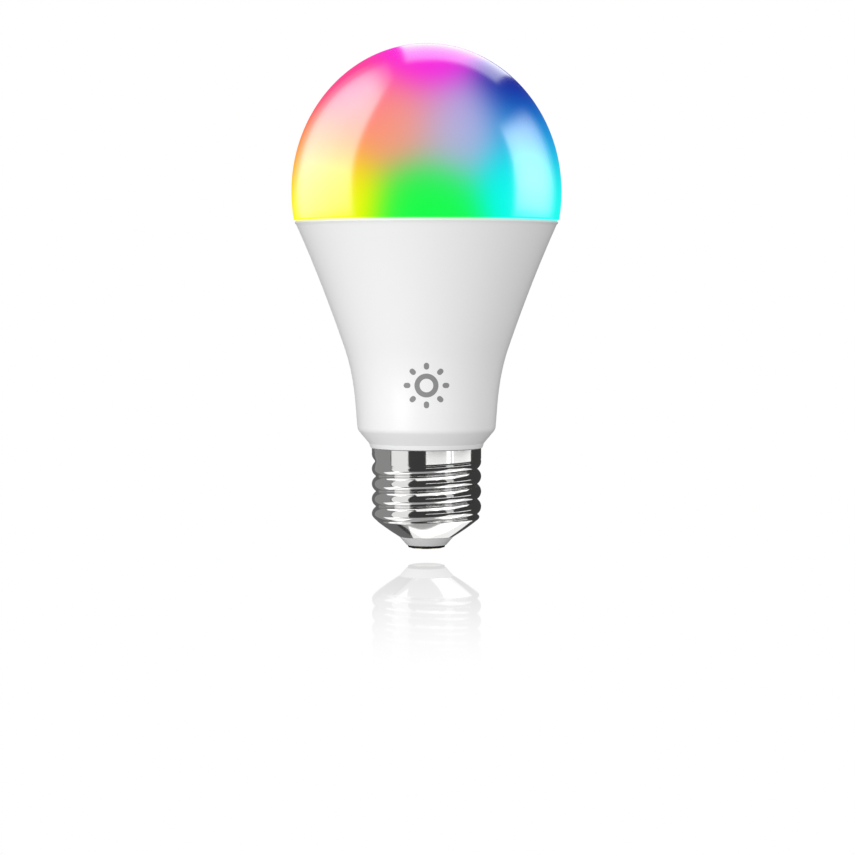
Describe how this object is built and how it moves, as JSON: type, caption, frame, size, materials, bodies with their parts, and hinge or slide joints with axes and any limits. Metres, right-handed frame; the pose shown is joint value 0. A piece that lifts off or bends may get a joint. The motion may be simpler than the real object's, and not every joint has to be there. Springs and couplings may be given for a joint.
{
  "type": "smart light bulb",
  "caption": "Smart LED bulb: glossy opal dome on a flared white housing over a nickel Edison screw cap, with its light board, driver and radio inside.",
  "frame": {"origin": "centre of the bottom face of the centre contact, on the bulb's axis", "axes": "+Z runs along the axis from the cap to the top of the dome; -Y is the printed front, and the driver board stands in the XZ plane"},
  "size_m": [0.0644, 0.0644, 0.1207],
  "materials": {
    "opal_diffuser": "glossy opal polycarbonate that scatters the light",
    "white_shell": "satin white moulded plastic",
    "cap_nickel": "bright nickel plating on rolled sheet",
    "insulator_grey": "smooth light grey moulding",
    "washer_black": "black pressed washer",
    "contact_metal": "plated brass rivet",
    "seal_silicone": "white silicone adhesive",
    "cup_aluminium": "deep-drawn aluminium",
    "pad_silicone": "grey heat-conducting silicone",
    "light_board_white": "white solder mask over an aluminium core",
    "led_warm": "orange phosphor in a white package",
    "led_cool": "yellow phosphor in a white package",
    "led_colour": "clear lens over a white package",
    "screw_steel": "zinc-plated steel",
    "board_green": "green solder mask over glass-fibre board",
    "radio_blue": "blue solder mask over glass-fibre board",
    "shield_tin": "tinned steel can",
    "header_black": "moulded header",
    "pin_brass": "plated square pins",
    "socket_white": "moulded socket",
    "sleeve_clear": "milky insulating sleeve",
    "can_sleeve": "dark printed sleeve over an aluminium can",
    "ferrite": "dull pressed ferrite",
    "tape_yellow": "yellow polyester tape",
    "copper_wire": "enamelled copper wire",
    "chip_black": "moulded epoxy package",
    "film_box": "moulded film capacitor case",
    "varistor_blue": "dipped epoxy coating",
    "resistor_red": "flameproof lacquer",
    "wire_red": "red lead insulation",
    "wire_black": "black lead insulation"
  },
  "bodies": {
    "root": {"diffuser_dome": "opal_diffuser", "dome_seal": "seal_silicone", "housing_shell": "white_shell", "heat_sink_cup": "cup_aluminium", "thermal_pad": "pad_silicone", "light_board": "light_board_white", "warm_white_led_1": "led_warm", "warm_white_led_2": "led_warm", "warm_white_led_3": "led_warm", "warm_white_led_4": "led_warm", "warm_white_led_5": "led_warm", "warm_white_led_6": "led_warm", "warm_white_led_7": "led_warm", "warm_white_led_8": "led_warm", "cool_white_led_1": "led_cool", "cool_white_led_2": "led_cool", "cool_white_led_3": "led_cool", "cool_white_led_4": "led_cool", "cool_white_led_5": "led_cool", "cool_white_led_6": "led_cool", "cool_white_led_7": "led_cool", "cool_white_led_8": "led_cool", "colour_led_1": "led_colour", "colour_led_2": "led_colour", "colour_led_3": "led_colour", "colour_led_4": "led_colour", "board_screw_1": "screw_steel", "board_screw_2": "screw_steel", "screw_cap": "cap_nickel", "cap_insulator": "insulator_grey", "contact_washer": "washer_black", "centre_contact": "contact_metal", "driver_board": "board_green", "driver_sleeve": "sleeve_clear", "driver_pins": "pin_brass", "pin_socket": "socket_white", "radio_board": "radio_blue", "radio_shield": "shield_tin", "radio_header": "header_black", "bulk_capacitor": "can_sleeve", "output_capacitor": "can_sleeve", "transformer_core": "ferrite", "transformer_winding": "tape_yellow", "driver_chip": "chip_black", "dimming_chip": "chip_black", "bridge_rectifier": "chip_black", "output_diode": "chip_black", "fusible_resistor": "resistor_red", "inductor_core": "ferrite", "inductor_winding": "copper_wire", "film_capacitor": "film_box", "varistor": "varistor_blue", "live_wire": "wire_red", "neutral_wire": "wire_black"}
  },
  "joints": []
}
